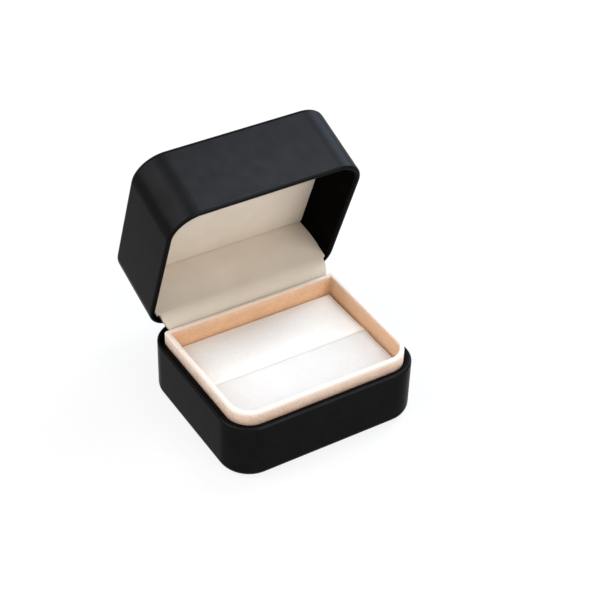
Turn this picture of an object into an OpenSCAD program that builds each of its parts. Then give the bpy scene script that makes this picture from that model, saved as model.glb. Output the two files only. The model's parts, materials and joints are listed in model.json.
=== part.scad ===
// Ring box: moulded base and lid wrapped in leatherette, joined by a snap hinge, with a velvet
// collar and a slit ring pad in the base, and a padded lining with a hinge flap in the lid.
// Millimetres. The origin is the middle of the underside, X runs along the hinge, -Y is the
// front and +Z is up. Lid parts are drawn shut, and then swung open about the hinge axis.

/* [Outside] */
// Width along the hinge
box_w = 60; // [54:1:76]
// Depth from front to back
box_d = 51.6; // [49:0.2:64]
// Height of the base, from the leatherette under it to its rim
base_h = 17.7; // [16.5:0.1:24]
// Height of the lid, from its rim to its top
lid_h = 22.2; // [20.5:0.1:30]
// Radius of the four upright corners
corner_r = 9.2; // [8:0.1:11]
// Radius of the edge round the underside of the base
base_edge_r = 2.5; // [1.5:0.1:4]
// Radius of the edge round the top of the lid
lid_edge_r = 1.5; // [1.2:0.1:4]
// Radius of both rims
rim_r = 0.7; // [0.5:0.05:0.75]
// Gap left between the rims of the shut box
parting_gap = 0.2; // [0.1:0.05:0.4]
// How far the lid stands open
open_angle = 70; // [60:1:74]

/* [Leatherette and moulded walls] */
// Thickness of the leatherette
wrap_t = 0.4; // [0.3:0.05:0.5]
// Thickness of the moulded wall of the base
base_core_t = 1.35; // [1.2:0.05:1.7]
// Thickness of the moulded floor of the base
base_floor_t = 1.3; // [1:0.1:2]
// Thickness of the moulded wall of the lid
lid_core_t = 0.8; // [0.8:0.05:1]
// Thickness of the moulded top of the lid
lid_top_t = 1.2; // [1:0.1:1.6]
// How far the leatherette is turned in over the rim of the base
wrap_turn_in = 6; // [4:0.5:8]
// How far the leatherette is turned under the base
wrap_turn_under = 7; // [5:0.5:9]
// Thickness of the sheet that the box stands on
foot_sheet_t = 0.3; // [0.2:0.05:0.6]
// Margin of leatherette left in sight round that sheet
foot_sheet_margin = 1.2; // [0.5:0.1:3]

/* [Collar] */
// Height of the collar above the rim of the base
collar_rise = 3.8; // [3:0.1:5]
// Thickness of the collar's card
collar_card_t = 0.8; // [0.6:0.05:1]
// Thickness of the velvet
velvet_t = 0.3; // [0.2:0.05:0.4]
// Room between the collar and the wall of the base
collar_fit = 0.1; // [0.05:0.05:0.2]
// How far the velvet reaches down inside the wall of the base
velvet_turn_down = 5; // [3:0.5:8]
// Room behind the collar for the hinge and the flap
hinge_bay = 5.3; // [5:0.1:7]

/* [Ring pad] */
// How far the pad lies below the top of the collar
pad_drop = 5.9; // [5:0.1:8]
// Thickness of each foam roll
pad_foam_t = 9; // [6:0.5:10]
// Thickness of the pad's velvet
pad_velvet_t = 0.4; // [0.3:0.05:0.6]
// Thickness of the card under the rolls
pad_card_t = 1; // [0.8:0.1:1.5]
// Room between the pad and the collar
pad_fit = 0.15; // [0.1:0.05:0.3]
// Radius of the rolls' long upper edges
roll_edge_r = 0.9; // [0.6:0.1:2.4]
// How far the middle of each roll stands above its edges
roll_crown = 0.4; // [0.2:0.05:0.8]
// Depth of the ring slit
slit_depth = 7; // [4:0.5:8]

/* [Lid lining] */
// Depth of the lining below the rim of the lid
lining_depth = 14.6; // [12:0.1:18]
// Thickness of the lining's cover
lining_cover_t = 0.4; // [0.3:0.05:0.6]
// Thickness of the lining's card
lining_card_t = 1; // [0.8:0.1:1.5]
// Room round the lining
lining_fit = 0.1; // [0.05:0.05:0.2]
// Distance from the crease of the flap to the back wall of the lid
crease_inset = 4.6; // [4:0.1:5.2]
// Thickness of the flap's board
flap_board_t = 0.7; // [0.5:0.05:0.8]
// Thickness of the flap's cover
flap_cover_t = 0.3; // [0.2:0.05:0.4]
// Gap between the flap and the collar behind which it slides
flap_gap = 0.3; // [0.2:0.05:0.4]
// Angle that the curled end of the flap takes up
flap_curl = 55; // [50:1:60]
// Width of the foot that glues the flap to the top of the lid
flap_foot = 3.2; // [2:0.1:3.4]

/* [Snap hinge] */
// Length of the hinge
hinge_w = 30; // [24:1:36]
// Distance of the hinge axis from the back of the box
hinge_inset = 0.57; // [0.4:0.01:0.8]
// Height of the hinge axis above the rim of the base
hinge_rise = 0.45; // [0.35:0.05:0.6]
// Radius of the hinge pin
pin_r = 0.6; // [0.5:0.05:0.7]
// Running clearance of the lid's knuckle on the pin
pin_play = 0.04; // [0.02:0.01:0.08]
// Thickness of the hinge leaves
leaf_t = 0.5; // [0.4:0.05:0.6]
// Outer radius of the knuckles of the base leaf
knuckle_r = 1.25; // [1.2:0.05:1.35]
// Length of the cam knuckle in the middle
cam_w = 12; // [9:0.5:14]
// How far the lobes of the cam lift the spring
cam_lift = 0.25; // [0.15:0.05:0.3]
// Gap between neighbouring knuckles
knuckle_gap = 0.15; // [0.1:0.05:0.3]
// Thickness of the flat spring
spring_t = 0.3; // [0.2:0.05:0.35]
// Height of each leaf, from the hinge axis to its far edge
leaf_h = 7; // [6:0.5:8]
// Radius of the rivet heads
rivet_head_r = 0.9; // [0.8:0.05:1.1]
// Radius of the rivet shanks
rivet_shank_r = 0.5; // [0.4:0.05:0.6]
// Thickness of the rivet heads
rivet_head_t = 0.35; // [0.25:0.05:0.45]

/* [Hidden] */

$fn = 72;
overcut = 1;               // how far a cutter runs past what it cuts
far = 100;                 // longer than anything in the box
bay = 5;                   // how far a cutter runs in front of the hinge axis or behind it
seat = 0.02;               // glued and riveted faces are this far apart
part_gap = 0.3;            // gap between pieces that must never rub
rivet_bite = 0.45;         // how far a rivet's shank goes into the wall
spring_foot = 1;           // how far the spring ends above the lower edge of its leaf
cam_seat = 0.03;           // play between the spring and a flat of the cam

// Heights
wrap_z = foot_sheet_t;                     // underside of the leatherette
floor_z = wrap_z + wrap_t + base_floor_t;  // top of the moulded floor
rim_z = wrap_z + base_h;                   // rim of the base
lid_z = rim_z + parting_gap;               // rim of the shut lid
lid_top_z = lid_z + lid_h;                 // top of the shut lid
lid_ceiling_z = lid_top_z - wrap_t - lid_top_t;
lining_z = lid_z + lining_depth;           // face of the lining
collar_z = rim_z + collar_rise;            // top of the collar
pad_z = collar_z - pad_drop;               // top of the ring pad at its edges
foam_z = pad_z - pad_velvet_t - pad_foam_t;
riser_z = foam_z - pad_card_t;

// Walls, counted inwards from the outside of the box
base_wall = base_core_t + 2 * wrap_t;
lid_wall = lid_core_t + 2 * wrap_t;
lid_flat_inset = (lid_wall + corner_r) / 2;  // where the top of the lid becomes one plain sheet

// Collar
collar_inset = base_wall + collar_fit;
collar_t = collar_card_t + 2 * velvet_t;
collar_edge_r = 0.43 * collar_t;           // both edges of its rim, almost a half round
collar_back_y = box_d / 2 - base_wall - hinge_bay;
well_x = box_w / 2 - collar_inset - collar_t;
well_front_y = -box_d / 2 + collar_inset + collar_t;
well_back_y = collar_back_y - collar_card_t - velvet_t;

// Ring pad
pad_front_y = well_front_y + pad_fit;
pad_back_y = well_back_y - pad_fit;
slit_y = (pad_front_y + pad_back_y) / 2;
roll_w = slit_y - pad_front_y;
crown_r = roll_w * roll_w / (8 * roll_crown) + roll_crown / 2;

// Hinge
axis_y = box_d / 2 - hinge_inset;
axis_z = rim_z + hinge_rise;
cam_r = knuckle_r + cam_lift;
notch_x = hinge_w / 2 + part_gap;
notch_r = cam_r + part_gap;
knuckle_w = (hinge_w - cam_w) / 2 - knuckle_gap;
leaf_in = knuckle_r;                       // front face of the base leaf, before the axis
lid_leaf_in = knuckle_r - 2 * seat;        // front face of the lid leaf, before the axis
spring_w = cam_w - 2 * knuckle_gap;
rivet_z = (notch_r + leaf_h) / 2;
outer_rivet_x = hinge_w / 2 - 2 * rivet_head_r - knuckle_gap;
inner_rivet_x = spring_w / 2 - 2 * rivet_head_r;

// Flap: a curl round the hinge axis and a flat panel that runs from it to the crease
flap_r = axis_y - collar_back_y - flap_gap;
crease_y = box_d / 2 - lid_wall - crease_inset;
crease_dy = crease_y - axis_y;
crease_dz = lining_z - axis_z;
crease_len = sqrt(crease_dy * crease_dy + crease_dz * crease_dz);
panel_turn = atan2(crease_dz, crease_dy) + acos(flap_r / crease_len);
flap_t = flap_board_t + flap_cover_t;

// ---------- outlines ----------

// The plan of the box, set in from its outside
module plan(inset) {
  r = corner_r - inset;
  x = box_w / 2 - corner_r;
  y = box_d / 2 - corner_r;
  square([2 * (x + r), 2 * y], center = true);
  square([2 * x, 2 * (y + r)], center = true);
  for (sx = [-1, 1], sy = [-1, 1]) translate([sx * x, sy * y]) circle(r);
}

module plan_block(inset, z0, z1) {
  translate([0, 0, z0]) linear_extrude(z1 - z0) plan(inset);
}

// Sweeps a wall section round the plan. In the section, x counts inwards from the outside of
// the box, up to the corner radius, and y is the height.
module sweep_wall() {
  x = box_w / 2 - corner_r;
  y = box_d / 2 - corner_r;
  for (side = [0, 1]) rotate(180 * side) {
    translate([-box_w / 2, y, 0]) rotate([90, 0, 0]) linear_extrude(2 * y) children();
    translate([-x, -box_d / 2, 0]) rotate([90, 0, 90]) linear_extrude(2 * x) children();
    translate([x, y, 0]) rotate_extrude(angle = 90) translate([corner_r, 0]) mirror([1, 0]) children();
    translate([-x, y, 0]) rotate([0, 0, 90]) rotate_extrude(angle = 90)
      translate([corner_r, 0]) mirror([1, 0]) children();
  }
}

// A rectangle from (0, 0) to (w, h) with its own radius at each corner
module rounded(w, h, r_low_out, r_low_in, r_high_in, r_high_out) {
  difference() {
    square([w, h]);
    corner_off(0, 0, 1, 1, r_low_out);
    corner_off(w, 0, -1, 1, r_low_in);
    corner_off(w, h, -1, -1, r_high_in);
    corner_off(0, h, 1, -1, r_high_out);
  }
}

// What rounding a corner at (x, y) takes away, where the shape lies towards (sx, sy)
module corner_off(x, y, sx, sy, r) {
  if (r > 0) translate([x, y]) difference() {
    translate([sx > 0 ? -overcut : -r, sy > 0 ? -overcut : -r]) square(r + overcut);
    translate([sx * r, sy * r]) circle(r);
  }
}

// Swings what is drawn shut to where the open lid stands
module opened() {
  translate([0, axis_y, axis_z]) rotate([-open_angle, 0, 0]) translate([0, -axis_y, -axis_z]) children();
}

// A wall and the flat that closes it, in section, from the outside of the box to the corner
// axis. The closed side lies at 0 and the rim at h. The hollow starts at wall_in and flat_top.
module tub_section(h, edge_r, skin, wall_in, flat_top) {
  difference() {
    translate([skin, skin]) rounded(corner_r - skin, h - 2 * skin, edge_r - skin, 0, 0, rim_r - skin);
    translate([wall_in, flat_top]) square([corner_r, h]);
    corner_off(wall_in, h - skin, -1, -1, rim_r - skin);
  }
}

// The leatherette over such a wall, turned in over the rim and in along the flat
module wrap_section(h, edge_r, wall, turn_in, turn_under) {
  difference() {
    tub_section(h, edge_r, 0, wall, wrap_t);
    tub_section(h, edge_r, wrap_t, wall - wrap_t, h - turn_in);
    translate([turn_under, -overcut]) square([corner_r, h]);
  }
}

// Fills the middle of a flat, inside the corner axes
module flat_middle(z0, z1) {
  cube_between([-box_w / 2 + corner_r, -box_d / 2 + corner_r, z0],
    [box_w / 2 - corner_r, box_d / 2 - corner_r, z1]);
}

// ---------- base ----------

module base_shell() {
  color([0.09, 0.09, 0.10]) difference() {
    union() {
      sweep_wall() translate([0, wrap_z])
        tub_section(base_h, base_edge_r, wrap_t, base_wall - wrap_t, floor_z - wrap_z);
      flat_middle(wrap_z + wrap_t, floor_z);
    }
    hinge_notch();
    leaf_recess();
    rivet_holes(rivet_shank_r + seat);
  }
}

module base_wrap() {
  color([0.13, 0.13, 0.15]) difference() {
    sweep_wall() translate([0, wrap_z])
      wrap_section(base_h, base_edge_r, base_wall, wrap_turn_in, wrap_turn_under);
    hinge_notch();
    leaf_recess();
  }
}

module foot_sheet() {
  inset = base_edge_r + foot_sheet_margin;
  color([0.10, 0.10, 0.11]) plan_block(inset, 0, foot_sheet_t);
}

// The gap in both back walls that the knuckles turn in
module hinge_notch() {
  cube_between([-notch_x, axis_y - bay, axis_z - notch_r],
    [notch_x, axis_y + bay, axis_z + notch_r]);
}

// The step in the inner face of the back wall that the base leaf lies in
module leaf_recess() {
  cube_between([-notch_x, axis_y - bay, axis_z - leaf_h - part_gap],
    [notch_x, axis_y - leaf_in + leaf_t + seat, axis_z]);
}

module cube_between(low, high) {
  translate(low) cube(high - low);
}

// ---------- collar and ring pad ----------

// The wall of the collar in section, set in from the face of its velvet
module collar_section(skin, z0) {
  r = collar_edge_r - skin;
  translate([collar_inset + skin, z0])
    rounded(collar_t - 2 * skin, collar_z - skin - z0, 0, 0, r, r);
}

// The straight back wall of the collar in section; its back is bare card
module collar_back_section(skin, z0) {
  r = collar_edge_r - skin;
  translate([well_back_y + skin, z0])
    rounded(collar_back_y - well_back_y - skin, collar_z - skin - z0, 0, 0, 0, r);
}

// The front and the sides of the collar, which follow the plan of the box
module collar_ring() {
  intersection() {
    sweep_wall() children();
    cube_between([-far, -far, 0], [far, collar_back_y, far]);
  }
}

module collar_back() {
  half = well_x + velvet_t;
  translate([-half, 0, 0]) rotate([90, 0, 90]) linear_extrude(2 * half) children();
}

module collar_card_solid() {
  collar_ring() collar_section(velvet_t, floor_z);
  collar_back() collar_back_section(velvet_t, floor_z);
}

module collar_card() {
  color([0.72, 0.66, 0.58]) collar_card_solid();
}

module collar_velvet() {
  color([0.93, 0.78, 0.66]) difference() {
    union() {
      collar_ring() difference() {
        collar_section(0, foam_z);
        translate([0, foam_z - overcut])
          square([collar_inset + velvet_t, rim_z - velvet_turn_down - foam_z + overcut]);
      }
      collar_back() collar_back_section(0, foam_z);
    }
    collar_card_solid();
  }
}

// What fills the well between two heights, set in from the outside of the pad
module pad_layer(skin, z0, z1) {
  intersection() {
    plan_block(collar_inset + collar_t + pad_fit + skin, z0, z1);
    cube_between([-far, -far, 0], [far, pad_back_y - skin, far]);
  }
}

module pad_riser() {
  color([0.80, 0.76, 0.70]) pad_layer(0, floor_z, riser_z);
}

module pad_card() {
  color([0.78, 0.74, 0.68]) pad_layer(0, riser_z, foam_z);
}

// A crowned roll in section, from y0 to y1, set in from the velvet's outside
module roll_section(y0, y1, skin) {
  r = roll_edge_r - skin;
  intersection() {
    translate([y0 + skin, foam_z])
      rounded(y1 - y0 - 2 * skin, pad_z + roll_crown - foam_z - skin, 0, 0, r, r);
    translate([(y0 + y1) / 2, pad_z + roll_crown - crown_r]) circle(crown_r - skin, $fn = 1440);
  }
}

module roll(y0, y1, skin) {
  intersection() {
    translate([-far / 2, 0, 0]) rotate([90, 0, 90]) linear_extrude(far) roll_section(y0, y1, skin);
    pad_layer(skin, foam_z, pad_z + roll_crown);
  }
}

module pad_foam_front() {
  color([0.95, 0.93, 0.88]) roll(pad_front_y, slit_y, pad_velvet_t);
}

module pad_foam_rear() {
  color([0.95, 0.93, 0.88]) roll(slit_y, pad_back_y, pad_velvet_t);
}

module pad_velvet() {
  color([0.96, 0.94, 0.91]) difference() {
    union() {
      roll(pad_front_y, slit_y, 0);
      roll(slit_y, pad_back_y, 0);
    }
    pad_foam_front();
    pad_foam_rear();
    // below the slit the two rolls lie apart, with no velvet between them
    cube_between([-far, slit_y - pad_velvet_t - seat, 0],
      [far, slit_y + pad_velvet_t + seat, pad_z - slit_depth]);
  }
}

// ---------- snap hinge ----------

module along_axis(x0, x1) {
  translate([x0, axis_y, axis_z]) rotate([90, 0, 90]) linear_extrude(x1 - x0) children();
}

module hinge_base_leaf() {
  color([0.55, 0.55, 0.56]) difference() {
    union() {
      for (side = [-1, 1]) base_knuckle(side);
      cube_between([-hinge_w / 2, axis_y - leaf_in, axis_z - leaf_h],
        [hinge_w / 2, axis_y - leaf_in + leaf_t, axis_z - notch_r]);
    }
    along_axis(-far, far) circle(pin_r + seat / 2);
    rivet_holes(rivet_shank_r + seat);
  }
}

// A knuckle of the base leaf and the strip that it is curled from
module base_knuckle(side) {
  x0 = side > 0 ? hinge_w / 2 - knuckle_w : -hinge_w / 2;
  along_axis(x0, x0 + knuckle_w) {
    circle(knuckle_r);
    translate([-leaf_in, -notch_r]) square([leaf_t, notch_r]);
  }
}

module hinge_pin() {
  color([0.62, 0.62, 0.64]) along_axis(-hinge_w / 2, hinge_w / 2) circle(pin_r);
}

module hinge_spring() {
  color([0.70, 0.70, 0.72]) difference() {
    cube_between([-spring_w / 2, axis_y - leaf_in - spring_t, axis_z - leaf_h + spring_foot],
      [spring_w / 2, axis_y - leaf_in, axis_z + knuckle_r]);
    rivet_holes(rivet_shank_r + seat);
  }
}

// Shank holes through the base leaf, the spring and the wall of the base
module rivet_holes(r) {
  for (x = [-outer_rivet_x, -inner_rivet_x, inner_rivet_x, outer_rivet_x])
    translate([x, axis_y - bay, axis_z - rivet_z]) rotate([-90, 0, 0])
      cylinder(r = r, h = bay - leaf_in + leaf_t + rivet_bite + seat);
}

module base_rivets() {
  color([0.62, 0.62, 0.64]) {
    for (side = [-1, 1]) {
      rivet(side * outer_rivet_x, -rivet_z, leaf_in, leaf_t);
      rivet(side * inner_rivet_x, -rivet_z, leaf_in + spring_t, leaf_t + spring_t);
    }
  }
}

// A rivet whose head lies on a face that far before the axis, through metal of that thickness
module rivet(x, z, face, metal) {
  translate([x, axis_y - face, axis_z + z]) rotate([-90, 0, 0]) {
    translate([0, 0, -rivet_head_t]) cylinder(r = rivet_head_r, h = rivet_head_t);
    cylinder(r = rivet_shank_r, h = metal + rivet_bite);
  }
}

// The cam knuckle in section: a round with a flat for the shut lid and one for the open lid
module cam_section() {
  flat = knuckle_r - cam_seat;
  difference() {
    circle(cam_r);
    for (turn = [180, 180 + open_angle]) rotate(turn) translate([flat, -cam_r]) square(2 * cam_r);
  }
}

module hinge_lid_leaf() {
  color([0.55, 0.55, 0.56]) opened() difference() {
    union() {
      along_axis(-cam_w / 2, cam_w / 2) {
        cam_section();
        translate([-lid_leaf_in, 0]) square([leaf_t, notch_r]);
      }
      cube_between([-hinge_w / 2, axis_y - lid_leaf_in, axis_z + notch_r],
        [hinge_w / 2, axis_y - lid_leaf_in + leaf_t, axis_z + leaf_h]);
    }
    along_axis(-far, far) circle(pin_r + pin_play);
    lid_rivet_holes(rivet_shank_r + seat);
  }
}

module lid_rivet_holes(r) {
  for (side = [-1, 1]) translate([side * outer_rivet_x, axis_y - bay, axis_z + rivet_z])
    rotate([-90, 0, 0]) cylinder(r = r, h = bay - lid_leaf_in + leaf_t + rivet_bite + seat);
}

module lid_rivets() {
  color([0.62, 0.62, 0.64]) opened()
    for (side = [-1, 1]) rivet(side * outer_rivet_x, rivet_z, lid_leaf_in, leaf_t);
}

// ---------- lid ----------

// Turns a section over, so that its closed side is the top of the lid
module lid_section() {
  translate([0, lid_top_z]) mirror([0, 1]) children();
}

module lid_shell() {
  color([0.09, 0.09, 0.10]) opened() difference() {
    union() {
      sweep_wall() lid_section()
        tub_section(lid_h, lid_edge_r, wrap_t, lid_wall - wrap_t, wrap_t + lid_top_t);
      flat_middle(lid_ceiling_z, lid_ceiling_z + lid_top_t);
    }
    hinge_notch();
    lid_rivet_holes(rivet_shank_r + seat);
  }
}

module lid_wrap() {
  color([0.13, 0.13, 0.15]) opened() difference() {
    union() {
      sweep_wall() lid_section()
        wrap_section(lid_h, lid_edge_r, lid_wall, lining_depth + lining_cover_t, lid_flat_inset);
      plan_block(lid_flat_inset, lid_top_z - wrap_t, lid_top_z);
    }
    hinge_notch();
    lid_leaf_window();
  }
}

// The opening in the turned-in leatherette that the lid leaf lies in
module lid_leaf_window() {
  cube_between([-notch_x, axis_y - bay, axis_z],
    [notch_x, box_d / 2 - wrap_t - lid_core_t / 2, axis_z + leaf_h + part_gap]);
}

// A layer of the lining between two heights, ending at the crease
module lining_layer(inset, z0, z1, back_y) {
  intersection() {
    plan_block(inset, z0, z1);
    cube_between([-far, -far, 0], [far, back_y, far]);
  }
}

module lining_foam() {
  color([0.90, 0.88, 0.84]) opened()
    lining_layer(lid_wall + lining_fit + lining_cover_t, lining_z + lining_cover_t + lining_card_t,
      lid_ceiling_z, crease_y - lining_fit - lining_cover_t);
}

module lining_card() {
  color([0.76, 0.72, 0.66]) opened()
    lining_layer(lid_wall + lining_fit + lining_cover_t, lining_z + lining_cover_t,
      lining_z + lining_cover_t + lining_card_t, crease_y - lining_fit - lining_cover_t);
}

module lining_cover() {
  color([0.86, 0.80, 0.72]) opened() difference() {
    lining_layer(lid_wall + lining_fit, lining_z, lining_z + lining_cover_t + lining_card_t,
      crease_y - lining_fit);
    lining_layer(lid_wall + lining_fit + lining_cover_t, lining_z + lining_cover_t, far,
      crease_y - lining_fit - lining_cover_t);
  }
}

// ---------- flap ----------

// The flap in section between two distances from its outer face, seen along the hinge
module flap_section(outer, inner) {
  r_out = flap_r - outer;
  r_in = flap_r - inner;
  translate([axis_y, axis_z]) rotate(panel_turn) {
    translate([r_in, -far]) square([r_out - r_in, far]);
    intersection() {
      difference() {
        circle(r_out);
        circle(r_in);
      }
      polygon([[0, 0], [far, 0], [far, far * tan(flap_curl / 2)],
        [far * cos(flap_curl), far * sin(flap_curl)]]);
    }
  }
}

// The room that the flap may fill: inside the lid, and below its rim inside the wall of the base
module flap_room(top_z) {
  step_z = 2;
  lid_x = box_w / 2 - lid_wall - lining_fit;
  base_x = box_w / 2 - base_wall - part_gap;
  intersection() {
    union() {
      plan_block(lid_wall + 2 * lining_fit, axis_z, top_z);
      plan_block(base_wall + part_gap, 0, axis_z);
    }
    translate([0, far, 0]) rotate([90, 0, 0]) linear_extrude(2 * far)
      polygon([[-base_x, 0], [base_x, 0], [base_x, axis_z], [lid_x, axis_z + step_z], [lid_x, far],
        [-lid_x, far], [-lid_x, axis_z + step_z], [-base_x, axis_z]]);
  }
}

module flap_layer(outer, inner, top_z) {
  intersection() {
    translate([-far / 2, 0, 0]) rotate([90, 0, 90]) linear_extrude(far) flap_section(outer, inner);
    flap_room(top_z);
  }
}

module flap_board() {
  foot_y = crease_y + (lid_ceiling_z - lining_z) / tan(180 - panel_turn + 90) + flap_board_t;
  color([0.76, 0.72, 0.66]) opened() {
    flap_layer(flap_cover_t, flap_t, lid_ceiling_z);
    intersection() {
      plan_block(lid_wall + 2 * lining_fit, lid_ceiling_z - flap_board_t, lid_ceiling_z);
      cube_between([-far, foot_y, 0], [far, foot_y + flap_foot, far]);
    }
  }
}

module flap_cover() {
  color([0.80, 0.73, 0.64]) opened()
    flap_layer(0, flap_cover_t, lining_z + lining_cover_t + lining_card_t);
}

// ---------- nodes ----------

base_shell();
base_wrap();
foot_sheet();
collar_card();
collar_velvet();
pad_riser();
pad_card();
pad_foam_front();
pad_foam_rear();
pad_velvet();
hinge_base_leaf();
hinge_pin();
hinge_spring();
base_rivets();
lid_shell();
lid_wrap();
lining_foam();
lining_card();
lining_cover();
flap_board();
flap_cover();
hinge_lid_leaf();
lid_rivets();
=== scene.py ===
# %% [markdown]
# # A ring box that stands open
# The box is a base and a lid of moulded plastic, both wrapped in black leatherette and joined
# by a small snap hinge. A velvet collar and a slit ring pad fill the base, and a padded panel
# with a curved flap lines the lid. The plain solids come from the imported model, which fixes
# every size and place. This lesson gives each visible surface its real form and finish.

# %% Load the frame
import json
import math

import bmesh
import bpy
from mathutils import Matrix, Vector


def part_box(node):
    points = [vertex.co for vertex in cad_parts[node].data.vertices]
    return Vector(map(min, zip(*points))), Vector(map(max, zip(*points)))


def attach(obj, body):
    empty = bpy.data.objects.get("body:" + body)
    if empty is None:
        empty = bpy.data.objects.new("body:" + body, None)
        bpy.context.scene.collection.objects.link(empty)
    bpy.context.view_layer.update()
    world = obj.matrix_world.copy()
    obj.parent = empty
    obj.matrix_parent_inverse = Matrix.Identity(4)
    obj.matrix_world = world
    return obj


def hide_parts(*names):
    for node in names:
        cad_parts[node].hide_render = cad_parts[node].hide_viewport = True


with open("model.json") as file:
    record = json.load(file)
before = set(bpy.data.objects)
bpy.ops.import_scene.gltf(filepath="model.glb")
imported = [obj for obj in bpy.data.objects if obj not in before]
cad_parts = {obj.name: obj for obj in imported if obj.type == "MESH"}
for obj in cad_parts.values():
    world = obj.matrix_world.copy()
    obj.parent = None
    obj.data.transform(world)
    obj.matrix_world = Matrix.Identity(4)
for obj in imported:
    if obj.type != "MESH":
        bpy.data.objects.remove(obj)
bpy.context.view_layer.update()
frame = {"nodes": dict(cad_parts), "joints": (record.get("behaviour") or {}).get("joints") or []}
bpy.ops.object.select_all(action="DESELECT")
print("CAD nodes:", len(frame["nodes"]))

# %% [markdown]
# All sizes are in metres. One millimetre gets a name, because a box this small is thought of in
# millimetres. The hinge comes from the frame: its line, and how far the lid turns from where it
# stands open to where it is shut.

# %% Units and the hinge
MM = 0.001
hinge = frame["joints"][0]
hinge_point = Vector(hinge["pos_m"])
shut_turn = math.radians(hinge["range_deg"][1])
print("hinge at", tuple(hinge_point), "and shuts through", hinge["range_deg"][1], "degrees")

# %% [markdown]
# The lid is easiest to model shut, with its walls upright, and is then swung open. The next
# cell turns points about the hinge line, and measures a lid node as if the lid were shut.

# %% Swing between open and shut
def swing(angle):
    """The turn about the hinge line by that angle; a positive one shuts the lid."""
    turn = Matrix.Rotation(angle, 4, "X")
    return Matrix.Translation(hinge_point) @ turn @ Matrix.Translation(-hinge_point)


def shut_box(node):
    """Lowest and highest corner of a lid node while the lid is shut."""
    points = [swing(shut_turn) @ v.co for v in frame["nodes"][node].data.vertices]
    low = Vector([min(p[i] for p in points) for i in range(3)])
    high = Vector([max(p[i] for p in points) for i in range(3)])
    return low, high


base_low, base_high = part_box("base_wrap")
lid_low, lid_high = shut_box("lid_wrap")
print("base", tuple(base_high - base_low), "lid", tuple(lid_high - lid_low))

# %% [markdown]
# The camera looks down from the front left, about forty degrees above the table, with a long
# lens that keeps the box's edges nearly parallel. It aims at the middle of the base's rim. The
# lens shift sets that point a little left of the picture's middle and below it, which leaves
# room for the open lid.

# %% Camera
CAMERA_AZIMUTH = math.radians(-32.16)
CAMERA_HEIGHT = math.radians(39.74)
CAMERA_ROLL = math.radians(1.58)
CAMERA_DISTANCE = 434.35 * MM
CAMERA_LENS = 93.2
CAMERA_SENSOR = 36
CAMERA_SHIFT_X = 0.0271
CAMERA_SHIFT_Y = 0.0789
CAMERA_NEAREST = 10 * MM

aim = Vector((0, 0, base_high.z))
back = Vector((
    math.sin(CAMERA_AZIMUTH) * math.cos(CAMERA_HEIGHT),
    -math.cos(CAMERA_AZIMUTH) * math.cos(CAMERA_HEIGHT),
    math.sin(CAMERA_HEIGHT),
))
camera_data = bpy.data.cameras.new("camera")
camera_data.sensor_width = CAMERA_SENSOR
camera_data.lens = CAMERA_LENS
camera_data.shift_x = CAMERA_SHIFT_X
camera_data.shift_y = CAMERA_SHIFT_Y
camera_data.clip_start = CAMERA_NEAREST
camera = bpy.data.objects.new("camera", camera_data)
bpy.context.scene.collection.objects.link(camera)
camera.rotation_mode = "QUATERNION"
camera.location = aim + back * CAMERA_DISTANCE
facing = (-back).to_track_quat("-Z", "Y")
camera.rotation_quaternion = facing @ Matrix.Rotation(CAMERA_ROLL, 4, "Z").to_quaternion()
bpy.context.scene.camera = camera
print("camera", tuple(round(v, 3) for v in camera.location))

# %% [markdown]
# The materials are built from nodes, with patterns worked out from the object's own coordinates,
# so that they have a real size and stay on a piece that turns. A small class adds a node with
# its settings in one line, so that each material reads as a short list. The numbers are the mix
# node's sockets, and the radians that the wave node runs through in one unit.

# %% Node helpers
VALUE_A = 2
VALUE_B = 3
COLOUR_A = 6
COLOUR_B = 7
COLOUR_RESULT = 2
WAVE_RATE = 20


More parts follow.
